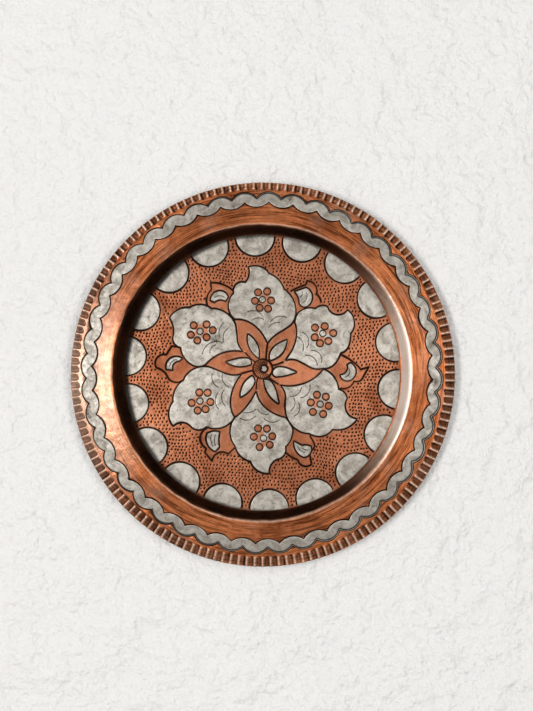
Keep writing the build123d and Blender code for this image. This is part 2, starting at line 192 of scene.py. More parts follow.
def normals(loop):
    """Unit vectors to the right of travel: away from the metal."""
    d = np.roll(loop, -1, 0) - np.roll(loop, 1, 0)
    d /= np.maximum(np.hypot(*d.T), 1e-9)[:, None]
    return np.stack([d[:, 1], -d[:, 0]], 1)


def inside(points, loops):
    """Even-odd test of points against closed loops."""
    hit = np.zeros(len(points), bool)
    for loop in loops:
        lo, hi = loop.min(0), loop.max(0)
        near = np.where(np.all((points >= lo) & (points <= hi), 1))[0]
        if not len(near):
            continue
        a, b = loop, np.roll(loop, -1, 0)
        for part in np.array_split(near, max(1, len(near) * len(a) // 4000000 + 1)):
            x, y = points[part, 0][:, None], points[part, 1][:, None]
            cross = (a[:, 1] > y) != (b[:, 1] > y)
            with np.errstate(divide="ignore", invalid="ignore"):
                at = a[:, 0] + (y - a[:, 1]) * (b[:, 0] - a[:, 0]) / (b[:, 1] - a[:, 1])
            hit[part] ^= (np.sum(cross & (x < at), 1) % 2).astype(bool)
    return hit


class Near:
    """Distance to a set of closely spaced points."""
    def __init__(self, points):
        self.tree = KDTree(len(points))
        for i, (x, y) in enumerate(points):
            self.tree.insert((x, y, 0), i)
        self.tree.balance()

    def __call__(self, points):
        return np.array([self.tree.find((x, y, 0))[2] for x, y in points])


def thin(points, gap):
    """Drops points closer than gap to one already kept."""
    cells, out = {}, []
    for i, (x, y) in enumerate(points):
        cx, cy = int(x // gap), int(y // gap)
        close = any((x - points[j][0]) ** 2 + (y - points[j][1]) ** 2 < gap * gap
                    for u in (cx - 1, cx, cx + 1) for v in (cy - 1, cy, cy + 1) for j in cells.get((u, v), ()))
        if not close:
            cells.setdefault((cx, cy), []).append(i)
            out.append(i)
    return out


def wobble(points, scale, seed=0.0):
    """Smooth noise, about -1 to 1, with features scale mm across."""
    return np.array([noise.noise(Vector((x / scale, y / scale, seed))) for x, y in points]) * 1.8


def smooth(lo, hi, x):
    """0 below lo, 1 above hi and an S-curve between."""
    t = np.clip((x - lo) / (hi - lo), 0, 1)
    return t * t * (3 - 2 * t)


# ------------------------------------------------------------------ mesh building
def make(name, verts, faces, attrs, material, body, stands_for):
    mesh = bpy.data.meshes.new(name)
    mesh.from_pydata([tuple(v) for v in np.asarray(verts) * MM], [], [tuple(int(i) for i in f) for f in faces])
    for key, values in attrs.items():
        mesh.attributes.new(key, "FLOAT", "POINT").data.foreach_set("value", np.asarray(values, np.float32))
    mesh.validate()
    mesh.materials.append(material)
    for p in mesh.polygons:
        p.use_smooth = True
    mesh.set_sharp_from_angle(angle=math.radians(60))
    obj = bpy.data.objects.new(name, mesh)
    bpy.context.scene.collection.objects.link(obj)
    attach(obj, body)
    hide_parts(*stands_for)
    return obj


def triangulate(points, loops=()):
    """Delaunay triangles of points; loops are kept as edges and the triangles outside them dropped."""
    verts, edges = [], []
    for loop in loops:
        n = len(verts)
        verts += [Vector(p) for p in loop]
        edges += [(n + i, n + (i + 1) % len(loop)) for i in range(len(loop))]
    verts += [Vector(p) for p in points]
    out, _, faces, _, _, _ = delaunay_2d_cdt(verts, edges, [], 0, 1e-5)
    out = np.array([tuple(v) for v in out])
    faces = np.array([f for f in faces if len(f) == 3])
    if len(loops):
        faces = faces[inside(out[faces].mean(1), loops)]
    a, b, c = (out[faces[:, k]] for k in range(3))
    flip = (b - a)[:, 0] * (c - a)[:, 1] - (b - a)[:, 1] * (c - a)[:, 0] < 0
    faces[flip] = faces[flip][:, ::-1]
    return out, faces


def boundary(faces):
    """Edges with a face on one side only."""
    edges = set()
    for f in faces:
        for e in ((f[0], f[1]), (f[1], f[2]), (f[2], f[0])):
            if (e[1], e[0]) in edges:
                edges.remove((e[1], e[0]))
            else:
                edges.add((int(e[0]), int(e[1])))
    return edges


def close_below(verts, faces, level):
    """Gives a top surface straight sides and a flat bottom at a level; returns verts, faces."""
    rim = boundary(faces)
    used = sorted({i for e in rim for i in e})
    low = {i: len(verts) + k for k, i in enumerate(used)}
    verts = np.vstack([verts, [[verts[i][0], verts[i][1], level] for i in used]])
    sides = []
    for a, b in rim:
        sides += [(b, a, low[a]), (b, low[a], low[b])]
    follow = dict(rim)
    loops = []
    while follow:
        first = next(iter(follow))
        loop = [first]
        here = follow.pop(first)
        while here != first and here in follow:
            loop.append(here)
            here = follow.pop(here)
        loops.append(loop)
    flat = [verts[l][:, :2] for l in map(np.array, loops)]
    ids = np.concatenate([np.array(l) for l in loops])
    out, tri = triangulate([], flat)
    match = Near(np.vstack(flat))
    at = [match.tree.find((x, y, 0))[1] for x, y in out]
    bottom = [(low[ids[at[c]]], low[ids[at[b]]], low[ids[at[a]]]) for a, b, c in tri]
    bottom = [f for f in bottom if len(set(f)) == 3]
    return verts, list(map(tuple, faces)) + sides + bottom


# ------------------------------------------------------------------ materials
class Shader:
    """A material's nodes, added one call at a time."""
    def __init__(self, name):
        self.mat = bpy.data.materials.new(name)
        self.mat.use_nodes = True
        self.tree = self.mat.node_tree
        self.tree.nodes.clear()
        self.out = self.tree.nodes.new("ShaderNodeOutputMaterial")
        self.bsdf = self.tree.nodes.new("ShaderNodeBsdfPrincipled")
        self.tree.links.new(self.bsdf.outputs[0], self.out.inputs[0])
        self.at = self.add("ShaderNodeTexCoord").outputs["Object"]

    def add(self, kind, inputs=(), **props):
        node = self.tree.nodes.new(kind)
        for key, value in props.items():
            setattr(node, key, value)
        for key, value in dict(inputs).items():
            self.put(node.inputs[key], value)
        return node

    def put(self, socket, value):
        if isinstance(value, bpy.types.NodeSocket):
            self.tree.links.new(value, socket)
        else:
            socket.default_value = value

    def math(self, op, a, b=0.5, c=0.5, clamp=False):
        return self.add("ShaderNodeMath", {0: a, 1: b, 2: c}, operation=op, use_clamp=clamp).outputs[0]

    def noise(self, scale, detail=3.0, rough=0.55, warp=0.0, at=None):
        return self.add("ShaderNodeTexNoise", {"Vector": at or self.at, "Scale": scale, "Detail": detail,
                                               "Roughness": rough, "Distortion": warp}).outputs["Fac"]

    def span(self, value, low, high, to_low=0.0, to_high=1.0):
        return self.add("ShaderNodeMapRange", {0: value, 1: low, 2: high, 3: to_low, 4: to_high},
                        interpolation_type="SMOOTHSTEP").outputs[0]

    def mix(self, fac, a, b):
        node = self.add("ShaderNodeMix", data_type="RGBA")
        for socket, value in zip((node.inputs[0], node.inputs[6], node.inputs[7]), (fac, a, b)):
            self.put(socket, value)
        return node.outputs[2]

    def attribute(self, name):
        return self.add("ShaderNodeAttribute", attribute_name=name).outputs["Fac"]

    def bump(self, height, distance, strength=1.0):
        sockets = {"Height": height, "Distance": distance, "Strength": strength}
        return self.add("ShaderNodeBump", sockets).outputs[0]

    def finish(self, color, metallic, roughness, normal=None, **sockets):
        self.put(self.bsdf.inputs["Base Color"], color)
        self.put(self.bsdf.inputs["Metallic"], metallic)
        self.put(self.bsdf.inputs["Roughness"], roughness)
        if normal is not None:
            self.put(self.bsdf.inputs["Normal"], normal)
        for key, value in sockets.items():
            self.put(self.bsdf.inputs[key.replace("_", " ")], value)
        return self.mat


def rgb(r, g, b):
    return (r, g, b, 1.0)


def from_axis(s):
    """Vector from the well's centre, in metres."""
    centre = (WELL[0] * MM, WELL[1] * MM, 0)
    return s.add("ShaderNodeVectorMath", {0: s.at, 1: centre}, operation="SUBTRACT").outputs[0]


def radius_of(s):
    """Distance from the well's axis, in metres."""
    off = from_axis(s)
    flat = s.add("ShaderNodeVectorMath", {0: off, 1: (1, 1, 0)}, operation="MULTIPLY").outputs[0]
    return s.add("ShaderNodeVectorMath", {0: flat}, operation="LENGTH").outputs["Value"]


def round_the_well(s):
    """Unit vector along the turning marks."""
    off = from_axis(s)
    side = s.add("ShaderNodeVectorMath", {0: (0, 0, 1), 1: off}, operation="CROSS_PRODUCT").outputs[0]
    turned = s.add("ShaderNodeVectorTransform", {0: side}, vector_type="VECTOR", convert_from="OBJECT",
                   convert_to="WORLD").outputs[0]
    return s.add("ShaderNodeVectorMath", {0: turned}, operation="NORMALIZE").outputs[0]


def rings(s, radius, across, along, detail=3.0):
    """Noise drawn out along circles round the well, as turning and years of polishing leave it."""
    high = s.add("ShaderNodeCombineXYZ", {"Z": s.math("MULTIPLY", radius, across)}).outputs[0]
    low = s.add("ShaderNodeVectorMath", {0: s.at, 1: (along, along, 0)}, operation="MULTIPLY").outputs[0]
    both = s.add("ShaderNodeVectorMath", {0: low, 1: high}, operation="ADD").outputs[0]
    return s.noise(1.0, detail, 0.62, 0.0, both)


def copper(name, brushed, pale, deep):
    s = Shader(name)
    radius = radius_of(s)
    band = s.span(radius, 0.0925, 0.098)
    broad, fine = rings(s, radius, 520.0, 26.0), rings(s, radius, 1900.0, 70.0)
    blotch = s.noise(36.0, 5.0, 0.62, 0.5)
    grain = s.noise(330.0, 5.0, 0.66, 0.3)
    speck = s.noise(1150.0, 3.0, 0.7)
    cav, wear_and_highlight = s.attribute("cavity"), s.attribute("wear_and_highlight")
    streak = s.math("MULTIPLY", s.math("ADD", s.span(broad, 0.38, 0.60), s.span(fine, 0.41, 0.59)), 0.5)
    contrast = s.span(band, 0, 1, 0.03, 1.15)
    streak = s.math("MULTIPLY_ADD", s.math("SUBTRACT", streak, 0.5), contrast, 0.5, clamp=True)
    color = s.mix(streak, rgb(*deep), rgb(*pale))
    color = s.mix(s.span(s.noise(15.0, 3.0, 0.6, 0.6), 0.44, 0.66, 0.0, 0.45), color, rgb(0.174, 0.044, 0.014))
    color = s.mix(s.span(blotch, 0.46, 0.72, 0.0, 0.60), color, rgb(0.139, 0.033, 0.011))
    color = s.mix(s.span(grain, 0.50, 0.72, 0.0, 0.50), color, rgb(0.104, 0.028, 0.010))
    color = s.mix(s.span(blotch, 0.24, 0.42, 0.35, 0.0), color, rgb(0.800, 0.365, 0.174))
    color = s.mix(s.span(speck, 0.60, 0.72, 0.0, 0.6), color, rgb(0.078, 0.030, 0.016))
    # wear, plus painted highlight where the flange and wall face the window lamp: paler copper; values above 1
    # are the painted reflection on the right-hand wall
    color = s.mix(s.math("MULTIPLY", wear_and_highlight, s.span(grain, 0.35, 0.6, 1.0, 0.6)), color, rgb(0.92, 0.68, 0.53))
    color = s.mix(s.span(wear_and_highlight, 1.0, 1.7), color, rgb(1.0, 0.84, 0.74))
    # dark deposit in chased lines, pits and hollows, plus painted shade in the wall and on the floor's edge
    dirt_and_shade = s.math("MULTIPLY", cav, s.span(grain, 0.30, 0.62, 1.0, 0.94))
    color = s.mix(dirt_and_shade, color, rgb(0.007, 0.004, 0.003))
    clean = s.span(cav, 0.15, 0.85, 0.94, 0.0)
    metallic = s.math("SUBTRACT", clean, s.math("MULTIPLY", wear_and_highlight, 0.45), clamp=True)
    rough = s.math("ADD", s.span(blotch, 0.3, 0.7, 0.34, 0.48), s.span(fine, 0.35, 0.65, -0.05, 0.06))
    rough = s.math("SUBTRACT", rough, s.math("MULTIPLY", wear_and_highlight, 0.12))
    rough = s.math("MAXIMUM", rough, s.span(cav, 0.1, 0.8, 0.0, 0.78), clamp=True)
    turning = s.math("ADD", fine, s.math("MULTIPLY", broad, 2.2))
    height = s.math("MULTIPLY", turning, s.span(band, 0, 1, 0.0, 0.4))
    height = s.math("ADD", height, s.math("MULTIPLY", grain, 0.8))
    height = s.math("ADD", height, s.math("MULTIPLY", s.noise(85.0, 2.0), 2.2))
    return s.finish(color, metallic, rough, s.bump(height, 0.00017), Tangent=round_the_well(s),
                    Anisotropic=brushed, Anisotropic_Rotation=0.25, Specular_IOR_Level=0.0)


def tinning(name):
    s = Shader(name)
    wipe = s.noise(150.0, 5.0, 0.68, 0.6)
    cloud = s.noise(42.0, 4.0, 0.6, 0.3)
    speck = s.noise(620.0, 4.0, 0.72)
    cav, wear_and_highlight = s.attribute("cavity"), s.attribute("wear_and_highlight")
    color = s.mix(s.span(wipe, 0.32, 0.70), rgb(0.520, 0.485, 0.440), rgb(0.258, 0.232, 0.197))
    color = s.mix(s.span(cloud, 0.50, 0.78, 0.0, 0.45), color, rgb(0.190, 0.171, 0.146))
    color = s.mix(s.span(speck, 0.54, 0.72, 0.0, 0.55), color, rgb(0.091, 0.076, 0.063))
    spot = s.math("MULTIPLY", s.span(s.noise(75.0, 3.0, 0.6, 0.2), 0.62, 0.74), s.span(speck, 0.40, 0.54))
    color = s.mix(s.math("MULTIPLY", spot, 0.85), color, rgb(0.068, 0.042, 0.025))
    bare = s.span(s.math("MULTIPLY_ADD", s.noise(260.0, 3.0), 0.7, wear_and_highlight), 0.62, 0.85)
    color = s.mix(bare, color, rgb(0.418, 0.179, 0.100))
    # dark chased outlines and strokes, plus the wall's painted shadow on the tin near the floor's edge
    color = s.mix(cav, color, rgb(0.009, 0.007, 0.006))
    metallic = s.span(cav, 0.1, 0.8, 0.66, 0.0)
    rough = s.math("ADD", s.span(wipe, 0.3, 0.7, 0.38, 0.54), s.span(speck, 0.5, 0.7, 0.0, 0.2), clamp=True)
    height = s.math("ADD", s.math("MULTIPLY", wipe, 0.9), s.math("MULTIPLY", speck, 0.4))
    height = s.math("ADD", height, s.math("MULTIPLY", cloud, 1.8))
    return s.finish(color, metallic, rough, s.bump(height, 0.00016), Tangent=round_the_well(s),
                    Anisotropic=0.4, Anisotropic_Rotation=0.25, Specular_IOR_Level=0.1)


def plain_metal(name, light, dark, rough, scale=260.0, metallic=0.9, depth=0.00008):
    s = Shader(name)
    grain = s.noise(scale, 5.0, 0.62, 0.3)
    patch = s.noise(scale * 0.22, 3.0)
    color = s.mix(s.span(grain, 0.35, 0.68), rgb(*light), rgb(*dark))
    color = s.mix(s.span(patch, 0.5, 0.75, 0.0, 0.6), color, rgb(*(c * 0.45 for c in dark)))
    edge = s.add("ShaderNodeNewGeometry").outputs["Pointiness"]
    color = s.mix(s.span(edge, 0.51, 0.60, 0.0, 0.5), color, rgb(*(min(1, c * 1.25) for c in light)))
    return s.finish(color, metallic, s.span(patch, 0.3, 0.7, rough, rough + 0.16), s.bump(grain, depth))


COPPER = copper("aged_copper", 0.45, (0.60, 0.225, 0.115), (0.16, 0.052, 0.024))
TURNED = copper("turned_copper", 0.85, (0.76, 0.250, 0.094), (0.120, 0.030, 0.010))
TIN = tinning("worn_tinning")

# ------------------------------------------------------------------ outlines from the CAD
def shapes(name):
    """A tin patch's outlines, the discs in it opened to their chased rings, and the thin strokes across it."""
    solid, strokes = [], []
    for loop in top_loops(name):
        nxt = np.roll(loop, -1, 0)
        length = np.hypot(*(nxt - loop).T).sum()
        area = 0.5 * np.sum(loop[:, 0] * nxt[:, 1] - nxt[:, 0] * loop[:, 1])
        if area > 0:
            solid.append(loop)
        elif -area < 0.62 * length:
            strokes.append(loop)
        else:
            c = loop.mean(0)
            solid.append(c + (loop - c) * (1 + 0.30 / np.hypot(*(loop - c).T).mean()))
            discs.append(solid[-1])
    return solid, strokes


discs = []
SKINS = sorted(n for n in NODES if n.startswith("tin_") and n != "tin_chain")
RAW = {n: shapes(n) for n in SKINS}
LOOPS = {n: [refine(l, 0.42) for l in RAW[n][0]] for n in SKINS}
FINE = {n: np.vstack([refine(l, 0.12) for l in RAW[n][0]]) for n in SKINS}
ALL_TIN = [l for n in SKINS for l in LOOPS[n]]
near_tin = Near(np.vstack(list(FINE.values())))

bud_paths = [path_points(b[0], b[1:]) for b in BUDS]
boss_ring = np.array([(BOSS[0] + BOSS_R * math.cos(t), BOSS[1] + BOSS_R * math.sin(t))
                      for t in np.linspace(0, 2 * math.pi, 130, endpoint=False)])
lines = bud_paths + [path_points(a, [(b, c)]) for a, b, c in SPOKES] + [boss_ring]
swirl = []
for k in range(SWIRL_STROKES):
    t, stroke = math.radians(48 + 14.0 * k), []
    for j in range(6):
        bent = t - 0.1 + 0.35 * (j / 5) ** 1.5
        reach = SWIRL_IN + SWIRL_LONG * j / 5
        stroke.append((0.5 + (BOSS[0] - 0.5) * j / 5 + reach * math.cos(bent), BOSS[1] + reach * math.sin(bent)))
    swirl.append(catmull(stroke, 0.2))
near_line, near_swirl = Near(np.vstack(lines)), Near(np.vstack(swirl))
hidden = [np.array(LEAF_TIPS)] + [np.vstack([p, LEAF_TIPS[k]]) for k, p in enumerate(bud_paths)]


# ------------------------------------------------------------------ stippled ground
def stipple():
    """Where each punch mark is, which way it is turned and its size."""
    spots = []
    for i in range(-42, 43):
        for j in range(-42, 43):
            x, y = j * 2.3 + (i % 2) * 0.7, i * 2.2
            x += 2.6 * noise.noise(Vector((x / 22, y / 22, 1.0))) + rng.uniform(-0.28, 0.28)
            y += 2.6 * noise.noise(Vector((x / 22, y / 22, 9.0))) + rng.uniform(-0.25, 0.25)
            if math.hypot(x - WELL[0], y - WELL[1]) < FLOOR_R - 1.2 and rng.random() > 0.03:
                spots.append((x, y))
    p = np.array(spots)
    free = ~inside(p, ALL_TIN) & (near_tin(p) > 1.55) & (near_line(p) > 1.15)
    for loop in hidden + discs:
        free &= ~inside(p, [loop])
    p = p[free]
    turn = np.array([0.9 + 1.6 * noise.noise(Vector((x / 30, y / 30, 4.0))) + rng.uniform(-0.3, 0.3)
                     for x, y in p])
    return p, turn, np.array([rng.uniform(0.66, 0.84) for _ in p])


PITS, PIT_TURN, PIT_SIZE = stipple()
PIT_LONG = 1.28
near_pit = Near(PITS)


def pit_depth(points):
    """1 at the middle of a punch mark, 0 at its edge and less outside."""
    out = np.full(len(points), -1.0)
    for k, (x, y) in enumerate(points):
        _, i, d = near_pit.tree.find((x, y, 0))
        if d < 1.2:
            c, s = math.cos(PIT_TURN[i]), math.sin(PIT_TURN[i])
            u, v = x - PITS[i][0], y - PITS[i][1]
            out[k] = 1 - math.hypot(c * u + s * v, PIT_LONG * (c * v - s * u)) / PIT_SIZE[i]
    return out


# ------------------------------------------------------------------ floor of the well
def rows(loops, offsets, near):
    """Points beside outlines, wherever no other outline is nearer."""
    p = np.vstack([loop + normals(loop) * d for loop in loops for d in offsets])
    want = np.concatenate([np.full(len(l), abs(d)) for l in loops for d in offsets])
    return p[np.abs(near(p) - want) < 0.09]


def beside(path, offsets, skip=1):
    """Points on lines drawn beside a path."""
    t = np.gradient(path, axis=0)
    t /= np.maximum(np.hypot(*t.T), 1e-9)[:, None]
    n = np.stack([t[:, 1], -t[:, 0]], 1)
    return np.vstack([(path + n * d)[::skip] for d in offsets])


def grime_and_shadow(p):
    """Deposit along the foot of the wall plus a painted shadow of the wall on the floor, darkest and widest
    toward the window lamp.
    """
    v = p - WELL
    far, side = np.hypot(*v.T), 0.5 + 0.5 * np.cos(np.arctan2(v[:, 1], v[:, 0]) - SHADOW_SIDE)
    reach = 0.6 + 3.6 * side ** 1.5 + 0.4 * wobble(p, 7, 6.0)
    return smooth(FLOOR_R - reach, FLOOR_R - 0.42 * reach, far) * (0.35 + 0.62 * side)


def floor_relief(p):
    """Height, deposit and wear of the copper floor at points."""
    tin = inside(p, ALL_TIN)
    bare = ~tin
    dt, dl, ds, pit = near_tin(p), near_line(p), near_swirl(p), pit_depth(p)
    far = np.hypot(*(p - WELL).T)
    w = np.where(inside(p, discs), 0.60, 0.96 + 0.34 * wobble(p, 12, 3.3))
    fade = 1 - smooth(FLOOR_R - 1.1, FLOOR_R - 0.4, far)
    cut = np.where(tin, 0.2, 0.40 * (1 - smooth(0.5 * w, 1.02 * w, dt)) * fade)
    cut = np.maximum(cut, bare * 0.36 * (1 - smooth(0.12, 0.62 * w, dl)))
    cut = np.maximum(cut, bare * 0.28 * (1 - smooth(0.05, 0.36, ds)))
    cut = np.maximum(cut, bare * 0.36 * smooth(-0.02, 0.6, pit))
    lip = 0.06 * np.exp(-((dt - 1.25) / 0.22) ** 2) + 0.05 * np.exp(-((dl - 0.85) / 0.2) ** 2)
    lip += 0.02 * np.exp(-((pit + 0.3) / 0.2) ** 2)
    z = SHEET + 0.05 * wobble(p, 13) + 0.02 * wobble(p, 4.5, 5.0) - cut + bare * lip * fade
    cav = np.maximum(1 - smooth(0.84 * w, 1.14 * w, dt), 1 - smooth(0.52 * w, 0.80 * w, dl))
    cav = np.maximum(np.maximum(cav * fade, 1 - smooth(0.12, 0.30, ds)), smooth(-0.10, 0.12, pit))
    # painted shadow of the wall on the floor's edge, with deposit
    cav = np.maximum(cav, grime_and_shadow(p))
    cav = np.maximum(cav, 0.22 * (1 - smooth(0.9, 2.2, np.minimum(dt, dl + 0.4))))
    wear_and_highlight = np.exp(-((dt - 1.5) / 0.28) ** 2) * (0.08 + 0.16 * wobble(p, 6, 8.0))
    return z, np.where(tin, 1.0, cav), np.where(tin, 0.0, np.clip(wear_and_highlight, 0, 1))


def build_floor():
    loops = [refine(l, 0.72) for n in SKINS for l in RAW[n][0]]
    out = [rows(loops, (-0.3, 0.04, 0.34, 0.62, 0.86, 1.1, 1.45), near_tin)]
    out += [beside(path, (0, -0.3, 0.3, -0.55, 0.55, -0.85, 0.85, -1.15, 1.15), 2) for path in lines]
    out += [beside(path, (0, -0.17, 0.17, -0.36, 0.36)) for path in swirl]
    marks = []
    for (x, y), turn, size in zip(PITS, PIT_TURN, PIT_SIZE):
        c, s = math.cos(turn), math.sin(turn)
        marks.append((x, y))
        for q, n in ((0.42, 5), (0.82, 7), (1.22, 8)):
            for k in range(n):
                t = 2 * math.pi * (k + q) / n
                u, v = q * size * math.cos(t), q * size * math.sin(t) / PIT_LONG
                marks.append((x + c * u - s * v, y + s * u + c * v))
    out.append(np.array(marks))
    grid = np.array([(i * 1.8 + (j % 2) * 0.9 + rng.uniform(-0.3, 0.3), j * 1.6 + rng.uniform(-0.3, 0.3))
                     for i in range(-51, 52) for j in range(-57, 58)])
    tin = inside(grid, ALL_TIN)
    open_ground = ~tin & (near_line(grid) > 1.3) & (near_pit(grid) > 1.0)
    under = tin & np.array([rng.random() < 0.12 for _ in grid])
    out.append(grid[(near_tin(grid) > 1.2) & (open_ground | under)])
    p = np.vstack(out)
    p = p[np.hypot(*(p - WELL).T) < FLOOR_R - 0.45]
    p = p[thin(p, 0.14)]
    t = np.linspace(0, 2 * math.pi, 720, endpoint=False)
    unit = np.stack([np.cos(t), np.sin(t)], 1)
    flat, tri = triangulate(np.vstack([p, WELL + (FLOOR_R - 0.3) * unit]), [WELL + FLOOR_R * unit])
    z, cav, wear_and_highlight = floor_relief(flat)
    z[np.hypot(*(flat - WELL).T) > FLOOR_R - 0.05] = SHEET
    # planished underside, in rings closed to the edge of the top
    follow = dict(boundary(tri))
    order = [next(iter(follow))]
    while follow[order[-1]] != order[0]:
        order.append(follow[order[-1]])
    n, base, prev = len(order), len(flat), np.array(order)
    verts, faces = [np.column_stack([flat, z])], [tuple(f) for f in tri]
    for r in (FLOOR_R, 88.0, 80, 72, 64, 56, 48, 40, 32, 24, 16, 9, 4):
        ring = WELL + (flat[order] - WELL) * (r / FLOOR_R)
        level = np.zeros(n) if r > 87 else 0.02 + 0.06 * np.abs(wobble(ring, 11, 12.0))
        verts.append(np.column_stack([ring, level]))
        now = base + np.arange(n)
        for k in range(n):
            a, b, c, d = prev[k], prev[(k + 1) % n], now[(k + 1) % n], now[k]
            faces += [(b, a, d), (b, d, c)]
        prev, base = now, base + n
    verts.append([[WELL[0], WELL[1], 0.03]])
    faces += [(prev[(k + 1) % n], prev[k], base) for k in range(n)]
    verts = np.vstack(verts)
    rest = np.zeros(len(verts) - len(flat))
    print("floor faces", len(faces), "pits", len(PITS))
    return make("dish_floor", verts, faces, {"cavity": np.append(cav, rest), "wear_and_highlight": np.append(wear_and_highlight, rest)},
                COPPER, "tray", ["dish"])


# ------------------------------------------------------------------ tinned patches on the floor
def build_skin(name):
    loops, (raw, strokes) = LOOPS[name], RAW[name]
    near = Near(FINE[name])
    out = [rows([refine(l, 0.6) for l in raw], (-0.13, -0.3, -0.55, -0.9), near)]
    lo, hi = np.vstack(loops).min(0), np.vstack(loops).max(0)
    grid = np.array([(x + rng.uniform(-0.25, 0.25), y + rng.uniform(-0.25, 0.25))
                     for x in np.arange(lo[0], hi[0], 1.05) for y in np.arange(lo[1], hi[1], 1.05)])
    grid = grid[inside(grid, loops) & (near(grid) > 1.15)]
    if strokes:
        strokes = [refine(l, 0.3) for l in strokes]
        near_stroke = Near(np.vstack(strokes))
        out.append(np.vstack([l + normals(l) * d for l in strokes for d in (0.42, 0.22, 0.02, -0.22)]))
        grid = grid[near_stroke(grid) > 0.5]
    out.append(grid)
    dot = np.array(ROSETTE_DOTS[int(name[-1]) - 1]) if "blossom" in name else None
    if dot is not None:
        t = np.linspace(0, 2 * math.pi, 40, endpoint=False)
        circle = np.stack([np.cos(t), np.sin(t)], 1)
        out.append(np.vstack([dot + r * circle for r in (1.5, 1.8, 2.05, 2.3, 2.6, 3.0)]))
    p = np.vstack(out)
    p = p[inside(p, loops) & (near(p) > 0.09)]
    flat, tri = triangulate(p[thin(p, 0.12)], loops)
    d = near(flat)
    d[sorted({i for e in boundary(tri) for i in e})] = 0
    z = TIN_TOP - 0.30 * (1 - np.clip(d / 0.5, 0, 1)) ** 2 + 0.05 * wobble(flat, 6, 2.0) * smooth(0.2, 1.5, d)
    z += 0.02 * wobble(flat, 2.2, 7.0) * smooth(0.2, 1.0, d)
    # the chased outline, plus the wall's painted shadow with deposit on the patch
    cav, wear_and_highlight = np.maximum(1 - smooth(0.04, 0.26, d), grime_and_shadow(flat)), np.zeros(len(flat))
    if strokes:
        ds, cut = near_stroke(flat), inside(flat, strokes)
        z += np.where(cut, -0.20 * smooth(0.05, 0.40, ds), 0.035 * np.exp(-((ds - 0.18) / 0.15) ** 2))
        cav = np.maximum(cav, cut * smooth(0.10, 0.30, ds) * (0.92 + 0.2 * wobble(flat, 5, 1.0)))
    if dot is not None:
        q = np.hypot(*(flat - dot).T)
        z -= 0.24 * np.exp(-((q - 2.15) / 0.30) ** 2)
        cav = np.maximum(cav, smooth(1.62, 1.85, q) * (1 - smooth(2.35, 2.65, q)))
        wear_and_highlight = (1 - smooth(4.3, 6.2, q)) * smooth(2.2, 2.5, q) * (0.55 + 0.8 * wobble(flat, 4, 11.0))
    verts, faces = close_below(np.column_stack([flat, z]), tri, 0.82)
    more = len(verts) - len(flat)
    return make("skin_" + name[4:], verts, faces, {"cavity": np.append(cav, np.ones(more)),
                                                   "wear_and_highlight": np.append(np.clip(wear_and_highlight, 0, 1), np.zeros(more))},
                TIN, "tray", [name])


# ------------------------------------------------------------------ pieces turned about the well's centre
class Lathe:
    """A closed surface from stations of radius and height, each a number or one per column."""
    def __init__(self, columns):
        self.th = np.arange(columns) * 2 * math.pi / columns
        self.unit = np.stack([np.cos(self.th), np.sin(self.th)], 1)
        self.xy, self.z, self.cavity, self.wear_and_highlight = [], [], [], []

    def at(self, r):
        return WELL + self.unit * np.broadcast_to(r, len(self.th))[:, None]

    def put(self, r, z, cavity=0.0, wear_and_highlight=0.0):
        self.xy.append(self.at(r))
        for store, value in ((self.z, z), (self.cavity, cavity), (self.wear_and_highlight, wear_and_highlight)):
            store.append(np.broadcast_to(value, len(self.th)))

    def build(self, name, material, stands_for):
        n, count, faces = len(self.th), len(self.xy), []
        for j in range(count):
            a, b = j * n, ((j + 1) % count) * n
            faces += [(a + i, b + i, b + (i + 1) % n, a + (i + 1) % n) for i in range(n)]
        print(name, "triangles", 2 * len(faces))
        return make(name, np.column_stack([np.vstack(self.xy), np.concatenate(self.z)]), faces,
                    {"cavity": np.clip(np.concatenate(self.cavity), 0, 1),
                     "wear_and_highlight": np.clip(np.concatenate(self.wear_and_highlight), 0, 2)}, material, "tray", stands_for)

    def curve(self, loop):
        """A loop's radius at each column."""
        v = loop - WELL
        a = np.arctan2(v[:, 1], v[:, 0]) % (2 * math.pi)
        order = np.argsort(a)
        a, r = a[order], np.hypot(*v.T)[order]
        return np.interp(self.th, np.concatenate([a - 2 * math.pi, a, a + 2 * math.pi]), np.tile(r, 3))


def flange_z(r):
    """Height of the flange's face."""
    return SHOULDER_Z - SLOPE * (r - SHOULDER)


def bend(a, b, c, radius, count):
    """Stations (r, z, normal r, normal z) round the corner b, the face of the sheet on the left."""
    a, b, c = (np.array(p, float) for p in (a, b, c))
    u, v = (b - a) / np.linalg.norm(b - a), (c - b) / np.linalg.norm(c - b)
    turn = math.atan2(u[0] * v[1] - u[1] * v[0], u.dot(v))
    nu, side = np.array([-u[1], u[0]]), math.copysign(1, turn)
    centre = b - u * radius * math.tan(abs(turn) / 2) + nu * radius * side
    out = []
    for k in range(count):
        s = turn * k / (count - 1)
        n = np.array([nu[0] * math.cos(s) - nu[1] * math.sin(s), nu[0] * math.sin(s) + nu[1] * math.cos(s)])
        out.append((*(centre - n * radius * side), *n))
    return out


def line_width(p, seed):
    """Width of a chased line, in mm, as it varies along its way."""
    return 0.86 + 0.34 * wobble(p, 13, seed)


chain_loops = sorted((refine(l, 0.15) for l in top_loops("tin_chain")),
                     key=lambda l: np.hypot(*(l - WELL).T).mean())
near_in, near_out = Near(chain_loops[0]), Near(chain_loops[1])


def inner_line(th):
    """How far inside the chain's outer edge its second line runs, wave by wave."""
    wave, pick = 2 * math.pi / WAVES, random.Random(3)
    side = [0.62 + 0.42 * math.cos(WAVE_START + k * wave + 0.2) + pick.uniform(-0.14, 0.14) for k in range(WAVES)]
    return np.array(side)[np.round((th - WAVE_START) / wave).astype(int) % WAVES]


def painted_highlight(s, p):
    """Painted highlight on the side of the flange that faces the window lamp."""
    turn = s.th - HIGHLIGHT_SIDE
    return np.clip(0.62 * np.exp(-(turn / 0.46) ** 2) + 0.10 * wobble(p, 14, 9.0), 0, 1)


